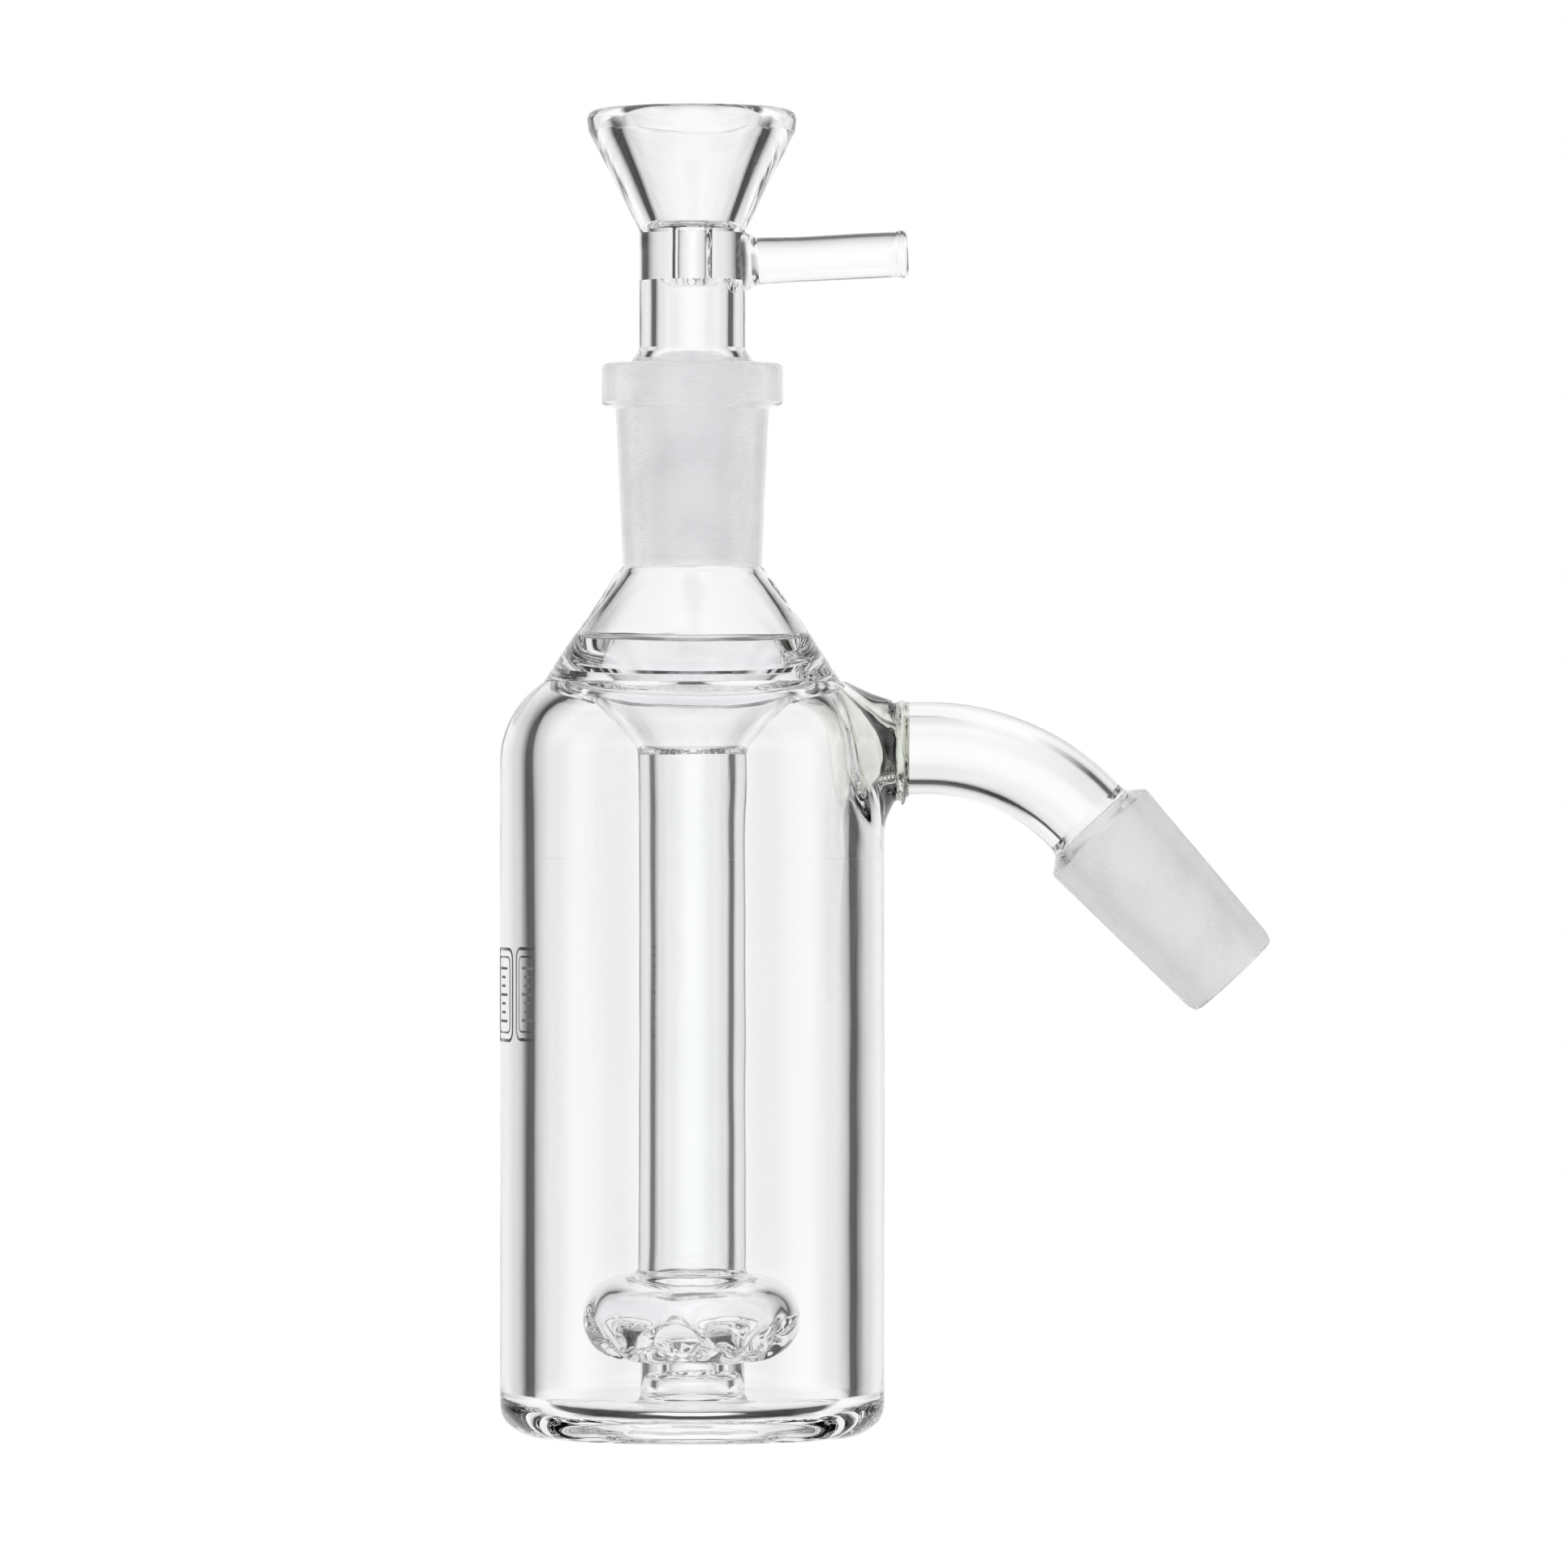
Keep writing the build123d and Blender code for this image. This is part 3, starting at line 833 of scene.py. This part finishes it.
def arm_ground_cone():
    """The ground male joint with its fire-polished tip."""
    start = BEND_END + FLARE
    tip = start + ARM_CONE
    return turned([
        (CONE_BORE_R, start),
        (JOINT_R, start),
        (JOINT_R - TAPER * (ARM_CONE - CONE_TIP), tip - CONE_TIP),
        (JOINT_R - TAPER * ARM_CONE - 0.35, tip, 0.5),
        (CONE_TIP_BORE_R, tip, 0.6),
    ], {0}, along_arm, ground={1, 2})


# ---------------------------------------------------------------- the bowl


def bowl_ground_cone():
    """The bowl's ground male joint."""
    return turned([
        (CONE_TIP_BORE_R, SEAT_BOTTOM, 0.4),
        (SEAT_R - TAPER * (SOCKET_TOP - SEAT_BOTTOM), SEAT_BOTTOM, 0.7),
        (SEAT_R, SOCKET_TOP),
        (CONE_BORE_R, SOCKET_TOP),
    ], {2}, ground={1})


def bowl_flare():
    """The clear flare between the ground joint and the stem."""
    return turned([
        (CONE_BORE_R, SOCKET_TOP),
        (SEAT_R, SOCKET_TOP),
        (BOWL_STEM_R + 0.2, FLARE_TOP - 0.5, 0.8),
        (BOWL_STEM_R, FLARE_TOP),
        (BOWL_BORE_R, FLARE_TOP),
    ], {0, 3}, warp=bowl_uneven)


def bowl_stem():
    """The stem tube. Its bore is closed in at the top by the throat's underside."""
    return turned([
        (BOWL_BORE_R, FLARE_TOP),
        (BOWL_STEM_R, FLARE_TOP),
        (BOWL_STEM_R, THROAT_Z),
        (BOWL_BORE_R, THROAT_Z),
    ], {0, 2}, warp=bowl_uneven)


def bowl_throat():
    """The thick-walled piece between cup and stem."""
    return turned([
        (THROAT_BORE_R, THROAT_Z - 1.1, 0.6),
        (BOWL_BORE_R, THROAT_Z),
        (BOWL_STEM_R, THROAT_Z),
        (BOWL_STEM_R, THROAT_TOP),
        (THROAT_BORE_R, THROAT_TOP),
    ], {1, 3}, warp=bowl_uneven)


def bowl_cup():
    """The conical cup."""
    return turned([
        (THROAT_BORE_R, THROAT_TOP),
        (BOWL_STEM_R, THROAT_TOP),
        (CUP_WALL_R, RIM_Z),
        (CUP_MOUTH_R, RIM_Z),
        (CUP_FOOT_R, THROAT_TOP + 0.9, 1.2),
        (THROAT_BORE_R + 0.3, THROAT_TOP + 0.5, 0.3),
    ], {0, 2}, warp=bowl_uneven)


def bowl_rim():
    """The fire-polished bead round the cup's mouth."""
    return turned([
        (CUP_MOUTH_R, RIM_Z),
        (CUP_WALL_R, RIM_Z),
        (CUP_R, CUP_TOP, 1.2),
        (CUP_BEAD_R, CUP_TOP, 1.2),
    ], {0}, warp=bowl_uneven)


def handle():
    """The solid rod from the throat's wall out to the tip."""
    tip = HANDLE_END / cos(HANDLE_RISE)
    return turned([
        (0, HANDLE_ROOT),
        (HANDLE_ROOT_R, HANDLE_ROOT),
        (HANDLE_R + 0.1, 7.4, 1.4),
        (HANDLE_R, 12),
        (HANDLE_R, tip - 1.3),
        (HANDLE_R + 0.15, tip - 0.8, 0.4),
        (HANDLE_R + 0.1, tip, 0.7),
        (0, tip),
    ], {0}, along_handle, bowl_uneven)


# ---------------------------------------------------------------- the print on the can


def ribbon(bm, path, width, closed):
    """A raised printed line along a path of (arc length, height) wrapped on the can, in millimetres."""
    count = len(path)
    rows = []
    for index, here in enumerate(path):
        before = path[index - 1] if closed or index else here
        after = path[(index + 1) % count] if closed or index + 1 < count else here
        run = (Vector(after) - Vector(before)).normalized()
        side = Vector((-run.y, run.x)) * width / 2
        row = []
        for sign, lift in ((1, 0.005), (1, 0.03), (-1, 0.03), (-1, 0.005)):
            u, v = Vector(here) + side * sign
            angle = MARK_AZIMUTH + u / CAN_R
            radius = CAN_R + lift
            row.append(bm.verts.new(Vector((radius * cos(angle), radius * sin(angle), v)) * MM))
        rows.append(row)
    for index in range(count if closed else count - 1):
        row, following = rows[index], rows[(index + 1) % count]
        for corner in range(4):
            beside = (corner + 1) % 4
            bm.faces.new([row[corner], row[beside], following[beside], following[corner]])
    if not closed:
        bm.faces.new(rows[0])
        bm.faces.new(reversed(rows[-1]))


def rounded_frame(half_width, half_height, corner):
    """A rounded rectangle's path, about the mark's middle."""
    path = []
    for quarter, (u, v) in enumerate(((1, 1), (-1, 1), (-1, -1), (1, -1))):
        for step in range(7):
            angle = pi / 2 * (quarter + step / 6)
            path.append((u * (half_width - corner) + corner * cos(angle),
                         MARK_Z + v * (half_height - corner) + corner * sin(angle)))
    return path


def print_mark():
    """A plain fill gauge: a tall rounded frame with short level ticks."""
    bm = bmesh.new()
    ribbon(bm, rounded_frame(3.6, 5.2, 1.2), 0.36, True)
    ribbon(bm, rounded_frame(2.7, 4.3, 0.8), 0.22, True)
    for tick in range(7):
        height = MARK_Z - 3.0 + tick
        half = 1.7 if tick % 3 == 0 else 0.9
        ribbon(bm, [(u * half / 4, height) for u in range(-4, 5)], 0.3, False)
    bmesh.ops.recalc_face_normals(bm, faces=bm.faces)
    mesh = bpy.data.meshes.new("print_mark")
    bm.to_mesh(mesh)
    bm.free()
    mesh.materials.append(print_ink())
    mark = bpy.data.objects.new("print_mark", mesh)
    bpy.context.scene.collection.objects.link(mark)
    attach(mark, "bubbler")


# ---------------------------------------------------------------- build

for made, name, slot in [
    (base_plate(), "base_plate", "base_glass"),
    (can_wall(), "can_wall", "can_glass"),
    (seal_ring(), "seal_ring", "seal_glass"),
    (neck_cone(), "neck_cone", "neck_glass"),
    (inlet_socket(), "inlet_socket", "ground_socket"),
    (funnel(), "funnel", "inner_glass"),
    (downstem(), "downstem", "inner_glass"),
    (arm_bend(), "arm_bend", "arm_glass"),
    (arm_flare(), "arm_flare", "arm_glass"),
    (arm_ground_cone(), "arm_ground_cone", "ground_cone"),
]:
    piece(f"glass_{name}", made, "bubbler", slot, name)

piece("glass_percolator_bulb", percolator_bulb(), "bubbler", "percolator_glass", "percolator_bulb",
      field=bulb_field)
piece("glass_percolator_foot", percolator_foot(), "bubbler", "percolator_glass",
      "percolator_foot", "foot_weld")
whole = shoulder()
boss = whole.copy()
keep_where(whole, lambda points: -off_boss(points))
keep_where(boss, off_boss)
piece("glass_shoulder_dome", whole, "bubbler", "can_glass", "shoulder_dome", field=shoulder_field)
# The boss uses the olive glass whose darkness is partly painted shade.
piece("glass_arm_boss", boss, "bubbler", "arm_glass", "arm_boss", field=shoulder_field,
      glass=BOSS_TINT_AND_SHADE)

piece("glass_bowl_ground_cone", bowl_ground_cone(), "bowl_seat", "ground_bowl_cone", "bowl_ground_cone")
for made, name, slot, replaced in [
    (bowl_flare(), "bowl_flare", "bowl_glass", ["bowl_flare"]),
    (bowl_stem(), "bowl_stem", "bowl_glass", ["bowl_stem"]),
    (bowl_throat(), "bowl_throat", "bowl_glass", ["bowl_throat"]),
    (bowl_cup(), "bowl_cup", "bowl_glass", ["bowl_cup"]),
    (bowl_rim(), "bowl_rim", "bowl_glass", ["bowl_rim"]),
    (handle(), "handle", "handle_glass", ["handle_rod", "handle_tip", "handle_weld"]),
]:
    piece(f"glass_{name}", made, "bowl", slot, *replaced)
print_mark()


# ---------------------------------------------------------------- studio


def grey(value):
    """A neutral colour of that brightness."""
    return (value, value, value, 1)


def grey_ramp(tree, value, stops):
    """A ramp of neutral colours. A stop is (position, brightness)."""
    return ramp(tree, value, [(position, grey(brightness)) for position, brightness in stops])


def studio_world():
    """White all round to the eye. The glass also sees soft dark panels between the lights."""
    world = bpy.data.worlds.new("studio")
    bpy.context.scene.world = world
    world.use_nodes = True
    tree = world.node_tree
    tree.nodes.clear()
    output = add(tree, "ShaderNodeOutputWorld")
    way = add(tree, "ShaderNodeTexCoord").outputs["Generated"]
    split = add(tree, "ShaderNodeSeparateXYZ", {0: way})
    x, y, z = split.outputs

    def math(operation, a, b=0.0):
        return add(tree, "ShaderNodeMath", {0: a, 1: b}, operation=operation).outputs[0]

    # Dark panels stand to both sides, from 45 to 61 degrees off the line from front to back
    across = math("SQRT", math("ADD", math("MULTIPLY", x, x), math("MULTIPLY", z, z)))
    tilt = math("DIVIDE", z, math("MAXIMUM", across, 0.0001))
    half_tilt = math("MULTIPLY", math("ADD", tilt, 1.0), 0.5)
    ring = grey_ramp(tree, math("ABSOLUTE", y), [
        (0.0, 1), (0.28, 0.9), (0.39, 0.5), (0.48, 0.05), (0.71, 0.04), (0.76, 0.3), (0.82, 0.6),
        (0.88, 0.76), (0.94, 0.87), (0.985, 0.96), (1.0, 1)])
    where = grey_ramp(tree, half_tilt, [
        (0.04, 1), (0.10, 0), (0.32, 0), (0.40, 1), (0.87, 1), (0.95, 0)])
    around = add(tree, "ShaderNodeMix", {0: where, 6: grey(1), 7: ring}, data_type="RGBA").outputs[2]
    # It is dark overhead and underneath too, but for white straight below
    level = math("MULTIPLY", math("ADD", z, 1.0), 0.5)
    height = math("SUBTRACT", level, math("MULTIPLY", math("ABSOLUTE", x), 0.25))
    caps = grey_ramp(tree, height, [
        (0.0, 0.05), (0.06, 0.05), (0.11, 1), (0.92, 1), (0.955, 0.1), (1.0, 0.1)])
    around = add(tree, "ShaderNodeMix", {0: 1.0, 6: around, 7: caps}, data_type="RGBA",
                 blend_type="MULTIPLY").outputs[2]
    below = grey_ramp(tree, level, [(0.0, 1), (0.015, 1), (0.035, 0)])
    around = add(tree, "ShaderNodeMix", {0: below, 6: around, 7: grey(1)}, data_type="RGBA").outputs[2]

    # The eye and ground glass see plain white
    path = add(tree, "ShaderNodeLightPath").outputs
    plain = math("MAXIMUM", path["Is Camera Ray"], path["Diffuse Depth"])
    shown = add(tree, "ShaderNodeMix", {0: plain, 6: around, 7: grey(1)}, data_type="RGBA").outputs[2]
    light = add(tree, "ShaderNodeBackground", {"Color": shown, "Strength": 1.0})
    tree.links.new(light.outputs[0], output.inputs[0])


def studio_floor():
    """A pale sweep under the object, lit evenly white."""
    bm = bmesh.new()
    bmesh.ops.create_circle(bm, cap_ends=True, radius=0.9, segments=96)
    mesh = bpy.data.meshes.new("floor")
    bm.to_mesh(mesh)
    bm.free()
    material, tree, output = nodes_of("floor")
    glow = add(tree, "ShaderNodeEmission", {"Color": (1, 1, 1, 1), "Strength": 1.0})
    tree.links.new(glow.outputs[0], output.inputs[0])
    mesh.materials.append(material)
    floor = bpy.data.objects.new("floor", mesh)
    floor.location.z = -0.0003
    floor.visible_transmission = False
    floor.visible_glossy = False
    floor.visible_diffuse = False
    bpy.context.scene.collection.objects.link(floor)


def studio_camera():
    """A long lens on a level with the middle of the can, square to the arm."""
    camera = bpy.data.cameras.new("camera")
    camera.sensor_width = 36
    camera.lens = 240.7
    camera.clip_end = 20
    view = bpy.data.objects.new("camera", camera)
    view.location = (0.0105, -1.2, 0.0745)
    view.rotation_euler = (pi / 2, 0, 0)
    bpy.context.scene.collection.objects.link(view)
    bpy.context.scene.camera = view


studio_world()
studio_floor()
studio_camera()

scene = bpy.context.scene
scene.view_settings.view_transform = "Standard"
scene.cycles.max_bounces = 40
scene.cycles.diffuse_bounces = 24
scene.cycles.blur_glossy = 0
scene.cycles.transmission_bounces = 40
scene.cycles.glossy_bounces = 24
scene.cycles.transparent_max_bounces = 96
